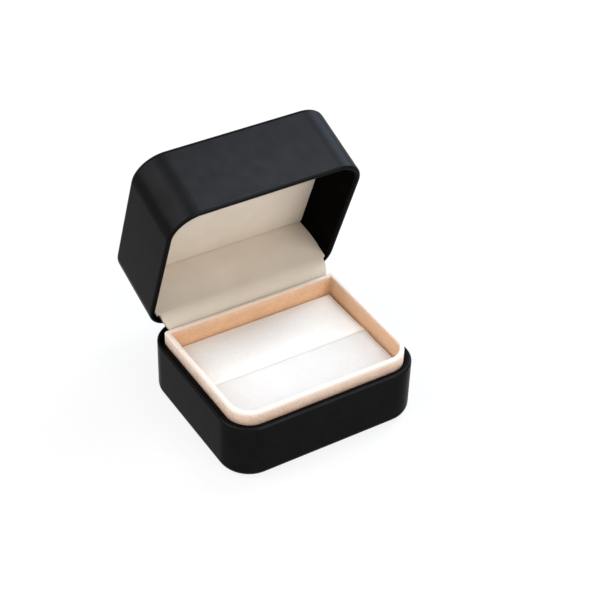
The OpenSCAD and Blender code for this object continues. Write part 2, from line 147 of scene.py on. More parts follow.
class Shading:
    """A new material and short ways to add and join its nodes."""

    def __init__(self, name):
        self.material = bpy.data.materials.new(name)
        self.material.use_nodes = True
        self.nodes = self.material.node_tree.nodes
        self.links = self.material.node_tree.links
        self.surface = self.nodes["Principled BSDF"]
        self.place = self.nodes.new("ShaderNodeTexCoord").outputs["Object"]

    def set(self, **values):
        for name, value in values.items():
            self.surface.inputs[name.replace("_", " ")].default_value = value

    def join(self, out, into):
        self.links.new(out, into)

    def noise(self, size, detail=3.0, stretch=(1, 1, 1)):
        """Noise whose lumps are about that size."""
        node = self.nodes.new("ShaderNodeTexNoise")
        node.inputs["Scale"].default_value = 1 / size
        node.inputs["Detail"].default_value = detail
        self.join(self.mapped(stretch), node.inputs["Vector"])
        return node.outputs["Fac"]

    def cells(self, size):
        """Rounded cells of about that size, as in leather grain."""
        node = self.nodes.new("ShaderNodeTexVoronoi")
        node.feature = "SMOOTH_F1"
        node.inputs["Scale"].default_value = 1 / size
        self.join(self.place, node.inputs["Vector"])
        return node.outputs["Distance"]

    def threads(self, size, axis):
        """Parallel threads of that width, side by side along one axis, with gaps as wide."""
        node = self.nodes.new("ShaderNodeTexWave")
        node.bands_direction = axis
        node.inputs["Scale"].default_value = 1 / (size * WAVE_RATE / math.tau * 2)
        node.inputs["Distortion"].default_value = 0.6
        node.inputs["Detail"].default_value = 1
        self.join(self.place, node.inputs["Vector"])
        return node.outputs["Fac"]

    def mapped(self, stretch):
        if tuple(stretch) == (1, 1, 1):
            return self.place
        node = self.nodes.new("ShaderNodeMapping")
        node.inputs["Scale"].default_value = stretch
        self.join(self.place, node.inputs["Vector"])
        return node.outputs["Vector"]

    def ramp(self, value, low, high, start=0.3, end=0.7):
        """A colour between two, along a value."""
        node = self.nodes.new("ShaderNodeValToRGB")
        node.color_ramp.elements[0].color = (*low, 1)
        node.color_ramp.elements[1].color = (*high, 1)
        node.color_ramp.elements[0].position = start
        node.color_ramp.elements[1].position = end
        self.join(value, node.inputs["Fac"])
        return node.outputs["Color"]

    def faded(self, colour, other, steps):
        """A colour that gives way to another with height; steps are (height, share)."""
        split = self.nodes.new("ShaderNodeSeparateXYZ")
        self.join(self.place, split.inputs["Vector"])
        spread = self.nodes.new("ShaderNodeMapRange")
        spread.inputs["From Min"].default_value = steps[0][0]
        spread.inputs["From Max"].default_value = steps[-1][0]
        self.join(split.outputs["Z"], spread.inputs["Value"])
        share = self.nodes.new("ShaderNodeValToRGB")
        reach = steps[-1][0] - steps[0][0]
        while len(share.color_ramp.elements) < len(steps):
            share.color_ramp.elements.new(0.5)
        for element, (height, part) in zip(share.color_ramp.elements, steps):
            element.position = (height - steps[0][0]) / reach
            element.color = (part, part, part, 1)
        self.join(spread.outputs["Result"], share.inputs["Fac"])
        mix = self.nodes.new("ShaderNodeMix")
        mix.data_type = "RGBA"
        self.join(share.outputs["Color"], mix.inputs["Factor"])
        self.join(colour, mix.inputs[COLOUR_A])
        mix.inputs[COLOUR_B].default_value = (*other, 1)
        return mix.outputs[COLOUR_RESULT]

    def blend(self, first, second, share):
        """Two values in one, with that share of the second."""
        node = self.nodes.new("ShaderNodeMix")
        node.inputs["Factor"].default_value = share
        self.join(first, node.inputs[VALUE_A])
        self.join(second, node.inputs[VALUE_B])
        return node.outputs["Result"]

    def levels(self, value, low, high):
        """A value spread between two levels."""
        node = self.nodes.new("ShaderNodeMapRange")
        node.inputs["To Min"].default_value = low
        node.inputs["To Max"].default_value = high
        self.join(value, node.inputs["Value"])
        return node.outputs["Result"]

    def bump(self, height, depth, strength, under=None):
        """Relief of that depth, on top of another relief if one is given."""
        node = self.nodes.new("ShaderNodeBump")
        node.inputs["Distance"].default_value = depth
        node.inputs["Strength"].default_value = strength
        self.join(height, node.inputs["Height"])
        if under is not None:
            self.join(under, node.inputs["Normal"])
        return node.outputs["Normal"]

    def finish(self, colour=None, roughness=None, normal=None):
        for out, into in ((colour, "Base Color"), (roughness, "Roughness"), (normal, "Normal")):
            if out is not None:
                self.join(out, self.surface.inputs[into])
        return self.material


# %% [markdown]
# Leatherette is a thin plastic skin on cloth. This one is a soft satin black with a faint, wide
# highlight. A plain black plastic in the shader mirrors a bright floor too strongly at a shallow
# angle, and its walls turn grey. The metallic branch has two colours instead: one for what the
# skin mirrors when seen flat on, and an edge tint that holds back the glare at a shallow angle.
# So a very dark metal is the better stand-in for this coat. The grain is rounded cells about a
# third of a millimetre across, over slow waves left by the glue. The matt strip inside the lid
# has the same grain on the plain branch, and mirrors next to nothing.

# %% Leatherette
LEATHER_GRAIN = 0.34 * MM
LEATHER_GRAIN_DEPTH = 0.03 * MM
LEATHER_WAVES = 7 * MM
LEATHER_WAVES_DEPTH = 0.10 * MM


def leatherette_finish(name, dark, light, edge, rough_low, rough_high, metallic):
    """Grained skin: its two colours, edge tint, roughness and share of the metallic branch."""
    look = Shading(name)
    look.set(Metallic=metallic, Specular_Tint=(edge, edge, edge, 1))
    look.set(IOR=1.45, Specular_IOR_Level=0.004)
    colour = look.ramp(look.noise(4 * MM), dark, light)
    rough = look.levels(look.noise(1.2 * MM), rough_low, rough_high)
    waves = look.bump(look.noise(LEATHER_WAVES, detail=2), LEATHER_WAVES_DEPTH, strength=0.35)
    grain = look.bump(look.cells(LEATHER_GRAIN), LEATHER_GRAIN_DEPTH, strength=0.25, under=waves)
    return look.finish(colour, rough, grain)


leatherette = leatherette_finish(
    "leatherette", dark=(0.0082, 0.0082, 0.0087), light=(0.0100, 0.0100, 0.0106),
    edge=0.56, rough_low=0.31, rough_high=0.38, metallic=1.0)
matt_strip = leatherette_finish(
    "matt_strip", dark=(0.0022, 0.0020, 0.0020), light=(0.0030, 0.0028, 0.0027),
    edge=1.0, rough_low=0.60, rough_high=0.70, metallic=0.0)
print("made", leatherette.name, "and", matt_strip.name)

# %% [markdown]
# Velvet is a field of short upright fibres. Flat on it shows its colour, and from the side the
# fibre tips catch light and pale it, which is what sheen does in the shader. Hair would need a
# million fibres here, so the pile is noise in colour and in relief at several sizes: slow
# patches where it leans another way, the nap, tufts and fibre ends. Towards the collar's rim the
# colour fades with height to a near-white pink, a painted highlight for the light that the rim
# catches. On the outside, which faces the lamps, this painted highlight reaches further down,
# and its tufts stand rougher. The pad has a flat, nearly white plush; the rear roll is painted
# paler, as painted light that lifts it where the open lid shades it.

# %% Velvet
SHEEN_WHITE = (1.0, 1.0, 1.0)
SHEEN_WARM = (1.0, 0.96, 0.93)
VELVET_PATCHES = 6 * MM
VELVET_NAP = 1.6 * MM
VELVET_TUFTS = 0.5 * MM
VELVET_FIBRES = 0.16 * MM


def velvet_finish(name, dark, light, sheen, tint, tuft, painted_rim_highlight=None, fade=None):
    """Pile between two colours; fade: share of the painted rim highlight, as (height, share)."""
    look = Shading(name)
    look.set(Sheen_Weight=sheen, Sheen_Roughness=0.45, Sheen_Tint=(*tint, 1))
    look.set(IOR=1.35, Specular_IOR_Level=0.15)
    tufts = look.noise(VELVET_TUFTS, detail=3)
    patches = look.blend(look.noise(VELVET_PATCHES, detail=4), tufts, share=0.6)
    colour = look.ramp(patches, dark, light, start=0.35, end=0.65)
    if painted_rim_highlight is not None:
        colour = look.faded(colour, painted_rim_highlight, fade)
    rough = look.levels(look.noise(0.4 * MM), 0.88, 0.98)
    nap = look.bump(look.noise(VELVET_NAP, detail=3), 0.12 * MM, strength=0.30)
    tufts = look.bump(tufts, 0.16 * MM, strength=tuft, under=nap)
    pile = look.bump(look.noise(VELVET_FIBRES, detail=2), 0.08 * MM, strength=0.45, under=tufts)
    return look.finish(colour, rough, pile)


rim_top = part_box("collar_velvet")[1].z
# The fade to the near-white colour at the rim is a painted highlight.
collar_velvet_finish = velvet_finish(
    "collar_velvet_finish", dark=(0.74, 0.445, 0.255), light=(0.88, 0.555, 0.34),
    sheen=0.5, tint=SHEEN_WARM, tuft=1.0, painted_rim_highlight=(0.92, 0.79, 0.70),
    fade=((rim_top - 2.4 * MM, 0.0), (rim_top - 0.7 * MM, 0.25), (rim_top, 1.0)))
# The outside gets a wider painted highlight, lower down, for the light that falls on it.
lit_outside_velvet = velvet_finish(
    "lit_outside_velvet", dark=(0.60, 0.40, 0.28), light=(0.86, 0.62, 0.46),
    sheen=0.5, tint=SHEEN_WARM, tuft=1.6, painted_rim_highlight=(0.94, 0.82, 0.74),
    fade=((rim_top - 3.6 * MM, 0.0), (rim_top - 1.6 * MM, 0.22), (rim_top - 0.3 * MM, 1.0)))
pad_plush = velvet_finish(
    "pad_plush", dark=(0.70, 0.68, 0.655), light=(0.745, 0.725, 0.705),
    sheen=0.2, tint=SHEEN_WHITE, tuft=0.15)
# The rear roll is painted paler than the front: painted light against the lid's shade.
lit_rear_plush = velvet_finish(
    "lit_rear_plush", dark=(0.84, 0.815, 0.78), light=(0.89, 0.87, 0.835),
    sheen=0.2, tint=SHEEN_WHITE, tuft=0.15)
print("made", collar_velvet_finish.name, lit_outside_velvet.name, pad_plush.name, lit_rear_plush.name)

# %% [markdown]
# The lid is lined with a finely woven fabric in warm cream. Modelled threads would be far too
# many, so two sets of thin parallel waves cross in the relief, one along each axis, and a little
# sheen lifts the edges. The flap is the same weave, painted a shade paler: painted light for the
# bowed cloth, which catches more light.

# %% Woven lining
THREAD = 0.22 * MM
THREAD_DEPTH = 0.02 * MM


def woven_finish(name, dark, light):
    """Crossed threads between two colours."""
    look = Shading(name)
    look.set(Sheen_Weight=0.15, Sheen_Roughness=0.5, IOR=1.4, Specular_IOR_Level=0.25)
    colour = look.ramp(look.noise(9 * MM, detail=3), dark, light, start=0.25, end=0.75)
    rough = look.levels(look.noise(0.8 * MM), 0.62, 0.74)
    warp = look.bump(look.threads(THREAD, "X"), THREAD_DEPTH, strength=0.30)
    weft = look.bump(look.threads(THREAD, "Y"), THREAD_DEPTH, strength=0.30, under=warp)
    return look.finish(colour, rough, weft)


lining_weave = woven_finish("lining_weave", (0.70, 0.61, 0.50), (0.76, 0.67, 0.56))
# The flap is painted a shade paler than the lining: painted light for its bowed cloth.
lit_flap_weave = woven_finish("lit_flap_weave", (0.73, 0.635, 0.53), (0.80, 0.705, 0.59))
print("made", lining_weave.name, "and", lit_flap_weave.name)

# %% [markdown]
# The rest holds the box together: moulded black plastic, grey card, foam, a matt sheet to stand
# on, and plated steel for the hinge. Most of it hides, but the hinge and the sheet show from
# behind and from below. One function makes all that is dull from noise of one size. The steel
# is a metal with noise drawn out along the hinge, as brushing leaves it.

# %% Plain finishes
ROUGHNESS_SPREAD = 0.06
STEEL_SPREAD = 0.08


def plain_finish(name, dark, light, lump, roughness, depth=0.01 * MM):
    """A dull finish between two colours, in lumps of that size."""
    look = Shading(name)
    colour = look.ramp(look.noise(lump, detail=4), dark, light)
    rough = look.levels(look.noise(lump / 3), roughness - ROUGHNESS_SPREAD,
                     roughness + ROUGHNESS_SPREAD)
    relief = look.bump(look.noise(lump / 4, detail=4), depth, strength=0.4)
    return look.finish(colour, rough, relief)


def brushed_finish(name, dark, light, roughness):
    """A metal between two colours, with streaks along the hinge."""
    look = Shading(name)
    look.set(Metallic=1.0)
    colour = look.ramp(look.noise(2 * MM), dark, light)
    streaks = look.noise(0.12 * MM, detail=3, stretch=(0.05, 1, 1))
    rough = look.levels(streaks, roughness - STEEL_SPREAD, roughness + STEEL_SPREAD)
    return look.finish(colour, rough, look.bump(streaks, 0.004 * MM, strength=0.3))


moulding = plain_finish("black_moulding", (0.010, 0.010, 0.010), (0.016, 0.016, 0.016),
                        1 * MM, 0.5)
card = plain_finish("grey_card", (0.42, 0.36, 0.28), (0.52, 0.46, 0.37), 0.7 * MM, 0.85)
foam = plain_finish("cream_foam", (0.78, 0.74, 0.66), (0.86, 0.82, 0.74), 0.5 * MM, 0.9,
                    0.08 * MM)
foot_paper = plain_finish("foot_paper", (0.012, 0.012, 0.013), (0.022, 0.022, 0.023),
                          0.6 * MM, 0.8)
plated_steel = brushed_finish("plated_steel", (0.40, 0.40, 0.41), (0.52, 0.52, 0.53), 0.34)
spring_steel = brushed_finish("spring_steel", (0.46, 0.46, 0.48), (0.60, 0.60, 0.62), 0.28)
print("made", moulding.name, card.name, foam.name, foot_paper.name, plated_steel.name,
      spring_steel.name)

# %% [markdown]
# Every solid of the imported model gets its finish, also where a piece modelled below takes its
# place in the picture. One table gives them all, by the solids' own names.

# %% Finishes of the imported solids
NODE_FINISHES = {
    "base_shell": moulding, "lid_shell": moulding,
    "base_wrap": leatherette, "lid_wrap": leatherette, "foot_sheet": foot_paper,
    "collar_card": card, "pad_card": card, "lining_card": card, "flap_board": card,
    "pad_riser": foam, "pad_foam_front": foam, "pad_foam_rear": foam, "lining_foam": foam,
    "collar_velvet": collar_velvet_finish, "pad_velvet": pad_plush,
    "lining_cover": lining_weave, "flap_cover": lit_flap_weave,
    "hinge_base_leaf": plated_steel, "hinge_lid_leaf": plated_steel,
    "hinge_pin": plated_steel, "hinge_spring": spring_steel,
    "base_rivets": plated_steel, "lid_rivets": plated_steel,
}
for node, finish in NODE_FINISHES.items():
    slots = frame["nodes"][node].data.materials
    slots.clear()
    slots.append(finish)
print("finished", len(NODE_FINISHES), "CAD nodes")

# %% [markdown]
# Modelling by hand means choosing edges and faces, and then working on them. Their numbers
# change with every bevel, so the helpers below choose by place: a test looks at the two ends of
# an edge, or at the middle and the normal of a face.

# %% Choosing edges and faces
TINY = 0.01 * MM
STRAIGHT = 0.9


def start_piece(name, low, high):
    """A box between two corners, open for editing with nothing chosen."""
    bpy.ops.object.select_all(action="DESELECT")
    bpy.ops.mesh.primitive_cube_add(size=1, location=(low + high) / 2, scale=high - low)
    piece = bpy.context.object
    piece.name = name
    bpy.ops.object.transform_apply(location=True, rotation=True, scale=True)
    bpy.ops.object.mode_set(mode="EDIT")
    bpy.ops.mesh.select_all(action="DESELECT")
    return piece


def choose_edges(piece, test):
    """Chooses the edges whose two ends pass the test."""
    bpy.ops.mesh.select_mode(type="EDGE")
    bpy.ops.mesh.select_all(action="DESELECT")
    mesh = bmesh.from_edit_mesh(piece.data)
    for edge in mesh.edges:
        a, b = edge.verts[0].co, edge.verts[1].co
        if test(a, b):
            edge.select_set(True)
    bmesh.update_edit_mesh(piece.data)


def choose_faces(piece, test):
    """Chooses the faces whose middle and normal pass the test."""
    bpy.ops.mesh.select_mode(type="FACE")
    bpy.ops.mesh.select_all(action="DESELECT")
    mesh = bmesh.from_edit_mesh(piece.data)
    for face in mesh.faces:
        if test(face.calc_center_median(), face.normal):
            face.select_set(True)
    bmesh.update_edit_mesh(piece.data)


def near(value, target):
    return abs(value - target) < TINY


# %% [markdown]
# The same few steps end each piece. A modifier is applied at once, so that the next step works
# on the real mesh. Weighted normals keep flat walls flat beside round corners. A piece's place
# goes into its mesh, because the object itself has to stay at the origin. Last, each piece is
# told which body it rides on and which solids it stands for.

# %% Finishing a piece
def leave_edit():
    bpy.ops.object.mode_set(mode="OBJECT")


def apply_modifier(piece, kind, **settings):
    """Adds a modifier with its settings and applies it."""
    bpy.context.view_layer.objects.active = piece
    modifier = piece.modifiers.new(kind.lower(), kind)
    for name, value in settings.items():
        setattr(modifier, name, value)
    bpy.ops.object.modifier_apply(modifier=modifier.name)


def smooth(piece, degrees=35):
    """Smooth shading that keeps true corners crisp and flat walls flat."""
    bpy.ops.object.select_all(action="DESELECT")
    piece.select_set(True)
    bpy.context.view_layer.objects.active = piece
    bpy.ops.object.shade_smooth_by_angle(angle=math.radians(degrees))
    apply_modifier(piece, "WEIGHTED_NORMAL", weight=50, keep_sharp=True)


def move_mesh(piece, matrix):
    """Moves a piece and leaves its place in its mesh."""
    bpy.ops.object.select_all(action="DESELECT")
    piece.select_set(True)
    bpy.context.view_layer.objects.active = piece
    piece.matrix_world = matrix @ piece.matrix_world
    bpy.ops.object.transform_apply(location=True, rotation=True, scale=True)


def hand_over(piece, body, slot, finish, *nodes):
    """Gives a piece its finish, its body and the nodes that it stands for; slot is not used."""
    piece.data.materials.clear()
    piece.data.materials.append(finish)
    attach(piece, body)
    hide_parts(*nodes)
    print(piece.name, "has", len(piece.data.polygons), "faces and rides on", body)


# %% [markdown]
# The base and the lid are the same form: a tub with round upright corners, a softened closed
# side and a rim, over which the leatherette folds to end inside. A real skin is a sheet, so it
# is modelled as an open one, closed side down: a box whose corners and closed side are bevelled,
# and whose open side is inset for the rim and extruded inwards. Its thickness comes last.

# %% Leather tub
CORNER_RADIUS = 9.2 * MM
CORNER_SEGMENTS = 16
EDGE_SEGMENTS = 8
RIM_RADIUS = 0.7 * MM
RIM_SEGMENTS = 6
LEATHER_THICKNESS = 0.4 * MM


def leather_tub(name, size, wall, edge_radius, turn_in, turn_under=None):
    """A skin over a tub of that size, closed side down, standing over the origin."""
    low = Vector((-size.x / 2, -size.y / 2, 0))
    high = Vector((size.x / 2, size.y / 2, size.z))
    piece = start_piece(name, low, high)
    choose_edges(piece, lambda a, b: near(a.x, b.x) and near(a.y, b.y))
    bpy.ops.mesh.bevel(offset=CORNER_RADIUS, segments=CORNER_SEGMENTS, affect="EDGES")
    choose_edges(piece, lambda a, b: near(a.z, 0) and near(b.z, 0))
    bpy.ops.mesh.bevel(offset=edge_radius, segments=EDGE_SEGMENTS, affect="EDGES")
    choose_faces(piece, lambda c, n: n.z > STRAIGHT and near(c.z, size.z))
    bpy.ops.mesh.inset(thickness=wall)
    bpy.ops.mesh.extrude_region_move(TRANSFORM_OT_translate={"value": (0, 0, -turn_in)})
    bpy.ops.mesh.delete(type="FACE")
    choose_edges(piece, lambda a, b: near(a.z, size.z) and near(b.z, size.z)
                 and (on_ring(a, b, size, 0) or on_ring(a, b, size, wall)))
    bpy.ops.mesh.bevel(offset=RIM_RADIUS, segments=RIM_SEGMENTS, affect="EDGES")
    if turn_under is not None:
        choose_faces(piece, lambda c, n: n.z < -STRAIGHT and near(c.z, 0))
        bpy.ops.mesh.inset(thickness=turn_under - edge_radius)
        bpy.ops.mesh.delete(type="FACE")
    leave_edit()
    return piece


def on_ring(a, b, size, inset):
    """Is this edge part of the tub's outline, set in by that much?"""
    def away(p):
        x = max(abs(p.x) - (size.x / 2 - CORNER_RADIUS), 0)
        y = max(abs(p.y) - (size.y / 2 - CORNER_RADIUS), 0)
        return math.hypot(x, y)
    wanted = CORNER_RADIUS - inset
    return abs(away(a) - wanted) < 10 * TINY and abs(away(b) - wanted) < 10 * TINY


# %% [markdown]
# Both back walls have a notch in which the hinge knuckles turn. It is as wide as the hinge and
# reaches a little past the cam. A box of that size is taken out of each skin while the lid is
# shut, so both notches match. The cut edges are rounded, because a skin is folded there.

# %% Hinge notch
NOTCH_PLAY = 0.3 * MM
CAM_RADIUS = 1.5 * MM
NOTCH_HALF_HEIGHT = CAM_RADIUS + NOTCH_PLAY
NOTCH_REACH = 5 * MM
FOLD_RADIUS = 0.12 * MM
FOLD_ANGLE = math.radians(50)
leaf_low, leaf_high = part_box("hinge_base_leaf")
notch_half_width = (leaf_high.x - leaf_low.x) / 2 + NOTCH_PLAY
print("the notch is", round(2 * notch_half_width / MM, 1), "mm wide")


def cut_box(piece, low, high):
    """Takes a box between two corners out of a piece."""
    cutter = start_piece("cutter", low, high)
    leave_edit()
    apply_modifier(piece, "BOOLEAN", operation="DIFFERENCE", object=cutter, solver="EXACT")
    bpy.data.objects.remove(cutter)


def finish_leather(piece):
    """Gives the skin its thickness, cuts the notch, rounds its cut edges and smooths the rest."""
    apply_modifier(piece, "SOLIDIFY", thickness=LEATHER_THICKNESS, offset=-1)
    low = Vector((-notch_half_width, hinge_point.y - NOTCH_REACH,
                  hinge_point.z - NOTCH_HALF_HEIGHT))
    high = Vector((notch_half_width, hinge_point.y + NOTCH_REACH,
                   hinge_point.z + NOTCH_HALF_HEIGHT))
    cut_box(piece, low, high)
    apply_modifier(piece, "BEVEL", width=FOLD_RADIUS, segments=2, limit_method="ANGLE",
                   angle_limit=FOLD_ANGLE)
    smooth(piece)


# %% [markdown]
# The skin of the base is turned in over the rim, and turned under the bottom, where the sheet
# that the box stands on covers its cut edge.

# %% Base leather
BASE_WALL = 2.15 * MM
BASE_EDGE_RADIUS = 2.5 * MM
BASE_TURN_IN = 6 * MM
BASE_TURN_UNDER = 7 * MM
base_leather = leather_tub("base_leather", base_high - base_low, BASE_WALL, BASE_EDGE_RADIUS,
                           BASE_TURN_IN, BASE_TURN_UNDER)
move_mesh(base_leather, Matrix.Translation((0, 0, base_low.z)))
finish_leather(base_leather)
hand_over(base_leather, "base", "leatherette", leatherette, "base_wrap")

# %% [markdown]
# The lid's skin is the same tub upside down, with a thinner wall and a sharper edge round its
# top. Inside it runs from the rim to the lining and ends just behind it. It is finished while
# the lid is shut, where its walls are upright, and then swung open.

# %% Lid leather
LID_WALL = 1.6 * MM
LID_EDGE_RADIUS = 1.5 * MM
LID_PAST_LINING = 0.4 * MM
lining_low, lining_high = shut_box("lining_cover")
lid_turn_in = lining_low.z - lid_low.z + LID_PAST_LINING
lid_leather = leather_tub("lid_leather", lid_high - lid_low, LID_WALL, LID_EDGE_RADIUS,
                          lid_turn_in)
move_mesh(lid_leather, Matrix.Translation((0, 0, lid_high.z)) @ Matrix.Rotation(math.pi, 4, "X"))
finish_leather(lid_leather)
move_mesh(lid_leather, swing(-shut_turn))
hand_over(lid_leather, "lid", "leatherette", leatherette, "lid_wrap")

# %% [markdown]
# Inside the lid the black is matt. It needs no piece of its own: a second material on the same
# skin does it. Its faces are told by place, turned back to where the lid is shut: they lie deeper
# than the rim and nearer to the middle than half the wall.

# %% Matt strip inside the lid
STRIP_START = 1.0 * MM
lid_leather.data.materials.append(matt_strip)
inner_half = Vector((lid_high.x - LID_WALL / 2, lid_high.y - LID_WALL / 2, 0))
inner_radius = CORNER_RADIUS - LID_WALL / 2
strip_faces = 0
for face in lid_leather.data.polygons:
    centre = swing(shut_turn) @ face.center
    inside = abs(centre.x) < inner_half.x and abs(centre.y) < inner_half.y
    corner = Vector((abs(centre.x) - inner_half.x, abs(centre.y) - inner_half.y, 0))
    corner += Vector((inner_radius, inner_radius, 0))
    if corner.x > 0 and corner.y > 0:
        inside = inside and corner.length < inner_radius
    if inside and lid_low.z + STRIP_START < centre.z < lid_high.z - LEATHER_THICKNESS * 2:
        face.material_index = 1
        strip_faces += 1
print("matt faces:", strip_faces)

# %% [markdown]
# The collar is a strip of card wrapped in velvet. It follows the base at the front and the
# sides, and runs straight across behind the pad, where its back is bare card. Like the leather
# it is modelled as an open sheet: a box with two round corners, whose top is inset by the
# collar's thickness, less at the back, and whose middle is pushed down to the foot of the pad
# and opened there.

# %% Collar
COLLAR_WALL = 1.4 * MM
COLLAR_BACK_WALL = 1.1 * MM
COLLAR_SEGMENTS = 12
VELVET_BELOW_RIM = 5 * MM
collar_low, collar_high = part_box("collar_velvet")
pad_low, pad_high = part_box("pad_velvet")
collar_corner = CORNER_RADIUS - (base_high.x - collar_high.x)

outer_low = Vector((collar_low.x, collar_low.y, base_high.z - VELVET_BELOW_RIM))
collar_piece = start_piece("collar_cover", outer_low, collar_high)
choose_edges(collar_piece, lambda a, b: near(a.x, b.x) and near(a.y, b.y) and a.y < 0)
bpy.ops.mesh.bevel(offset=collar_corner, segments=COLLAR_SEGMENTS, affect="EDGES")
choose_faces(collar_piece, lambda c, n: n.z > STRAIGHT)
bpy.ops.mesh.inset(thickness=COLLAR_WALL)
choose_edges(collar_piece, lambda a, b: near(a.z, collar_high.z) and near(a.y, b.y)
             and near(a.y, collar_high.y - COLLAR_WALL))
bpy.ops.transform.translate(value=(0, COLLAR_WALL - COLLAR_BACK_WALL, 0))
choose_faces(collar_piece, lambda c, n: n.z > STRAIGHT and abs(c.x) < MM
             and pad_low.y < c.y < pad_high.y)
bpy.ops.mesh.extrude_region_move(
    TRANSFORM_OT_translate={"value": (0, 0, pad_low.z - collar_high.z)})
bpy.ops.mesh.delete(type="FACE")
choose_faces(collar_piece, lambda c, n: n.z < -STRAIGHT
             or (n.y > STRAIGHT and near(c.y, collar_high.y)))
bpy.ops.mesh.delete(type="FACE")
print("the collar's corner radius is", round(collar_corner / MM, 2), "mm")

# %% [markdown]
# Pile goes softly round the rim, so the rim's long edges are rounded. The short edges that cross
# the rim lie at the same height, and a test of place alone would take them too. So this test
# looks at the two faces beside an edge: one has to be level and the other upright.

# %% Round the collar's rim
COLLAR_RIM = 0.52 * MM
VELVET_THICKNESS = 0.3 * MM
CLOTH_SMOOTHING = 50


def choose_brink(piece, height):
    """Chooses the edges at that height between a level face and an upright one."""
    bpy.ops.mesh.select_mode(type="EDGE")
    bpy.ops.mesh.select_all(action="DESELECT")
    mesh = bmesh.from_edit_mesh(piece.data)
    mesh.normal_update()
    for edge in mesh.edges:
        level = [abs(face.normal.z) > STRAIGHT for face in edge.link_faces]
        at_height = near(edge.verts[0].co.z, height) and near(edge.verts[1].co.z, height)
        if at_height and len(level) == 2 and level[0] != level[1]:
            edge.select_set(True)
    bmesh.update_edit_mesh(piece.data)
    return sum(e.select for e in mesh.edges)


print("rim edges:", choose_brink(collar_piece, collar_high.z))
bpy.ops.mesh.bevel(offset=COLLAR_RIM, segments=RIM_SEGMENTS, affect="EDGES")
leave_edit()
apply_modifier(collar_piece, "SOLIDIFY", thickness=VELVET_THICKNESS, offset=-1,
               use_even_offset=True)
smooth(collar_piece, CLOTH_SMOOTHING)
hand_over(collar_piece, "base", "collar_velvet", collar_velvet_finish, "collar_velvet")

# %% [markdown]
# The outside of the collar is a second material on the same velvet. Its painted highlight
# reaches further down, for the light that falls on the outside. A face belongs to it when it
# stands upright and looks away from the collar's middle.

# %% Outside of the collar, painted paler
UPRIGHT = 0.7
collar_piece.data.materials.append(lit_outside_velvet)
collar_middle = (collar_low + collar_high) / 2
for face in collar_piece.data.polygons:
    outwards = face.center - collar_middle
    outwards.z = 0
    if abs(face.normal.z) < UPRIGHT and outwards.dot(face.normal) > 0:
        face.material_index = 1
print("brushed faces:", sum(f.material_index for f in collar_piece.data.polygons))

# %% [markdown]
# The ring pad is two rolls of foam in one velvet cover, and the ring sits in the slit between
# them. Velvet over foam is full and slightly crowned, with soft ends. That form could be
# sculpted, but a skin that is blown up as cloth finds it by itself. The simulation works best on
# things the size of a cushion, so a roll is enlarged for it and reduced again.

# %% Simulate the swelling
SIM_SCALE = 12
SIM_PRESSURE = 4
SIM_QUALITY = 5
SIM_FRAMES = 20
VOXEL = 0.5 * MM


def swell(piece, held):
    """Runs the cloth with pressure inside; the vertices with those numbers stay in place."""
    group = piece.vertex_groups.new(name="held")
    group.add(held, 1.0, "REPLACE")
    cloth = piece.modifiers.new("cloth", "CLOTH")
    cloth.settings.use_pressure = True
    cloth.settings.uniform_pressure_force = SIM_PRESSURE
    cloth.settings.effector_weights.gravity = 0
    cloth.settings.vertex_group_mass = "held"
    cloth.settings.quality = SIM_QUALITY
    for frame_number in range(1, SIM_FRAMES + 1):
        bpy.context.scene.frame_set(frame_number)
    bpy.ops.object.modifier_apply(modifier="cloth")
    bpy.context.scene.frame_set(1)


# %% [markdown]
# Pressure alone would push a roll through its neighbours. So each point moves at most as far as
# the swell and stays inside the roll's room.

# %% Blow up a pad
def blow_up(piece, held, low, high, most):
    """Swells a closed piece as cloth. It moves at most that far and stays between two corners."""
    bpy.context.view_layer.objects.active = piece
    for vertex in piece.data.vertices:
        vertex.co *= SIM_SCALE
    apply_modifier(piece, "REMESH", mode="VOXEL", voxel_size=VOXEL * SIM_SCALE)
    start = [vertex.co.copy() for vertex in piece.data.vertices]
    swell(piece, [i for i, co in enumerate(start) if held(co / SIM_SCALE)])
    farthest = 0
    for vertex, begin in zip(piece.data.vertices, start):
        step = vertex.co / SIM_SCALE - begin / SIM_SCALE
        farthest = max(farthest, step.length)
        if step.length > most:
            step *= most / step.length
        place = begin / SIM_SCALE + step
        for axis in range(3):
            place[axis] = min(max(place[axis], low[axis]), high[axis])
        vertex.co = place
    print(piece.name, "wanted to swell by", round(farthest / MM, 2), "mm")


# %% [markdown]
# Foam under plush is never quite even. Each roll gets a slow relief, which moves the mesh itself
# and so shows in the outline at the slit, as a relief in the shader would not.

# %% Slow relief
PAD_LUMPS = 5 * MM
PAD_RELIEF = 0.10 * MM


def add_relief(piece, name, lump, height):
    """Slow irregular relief of that height over a fine mesh."""
    texture = bpy.data.textures.new(name, "CLOUDS")
    texture.noise_scale = lump
    texture.noise_depth = 2
    apply_modifier(piece, "DISPLACE", texture=texture, texture_coords="LOCAL",
                   strength=height, mid_level=0.5)


# %% [markdown]
# A roll starts as a box a little lower than its solid, so that its crown has room. It is rounded
# tightly along the slit, where the velvet dives in, a little along the other edges, and at the
# front with the two corners that follow the collar.

# %% Start a roll
SLIT_EDGE = 0.2 * MM
SLIT_SEGMENTS = 6
ROLL_END = 0.3 * MM
ROLL_END_SEGMENTS = 4
ROLL_END_ANGLE = math.radians(60)
PAD_CORNER = 5.4 * MM
PAD_SEGMENTS = 10
slit_y = (pad_low.y + pad_high.y) / 2


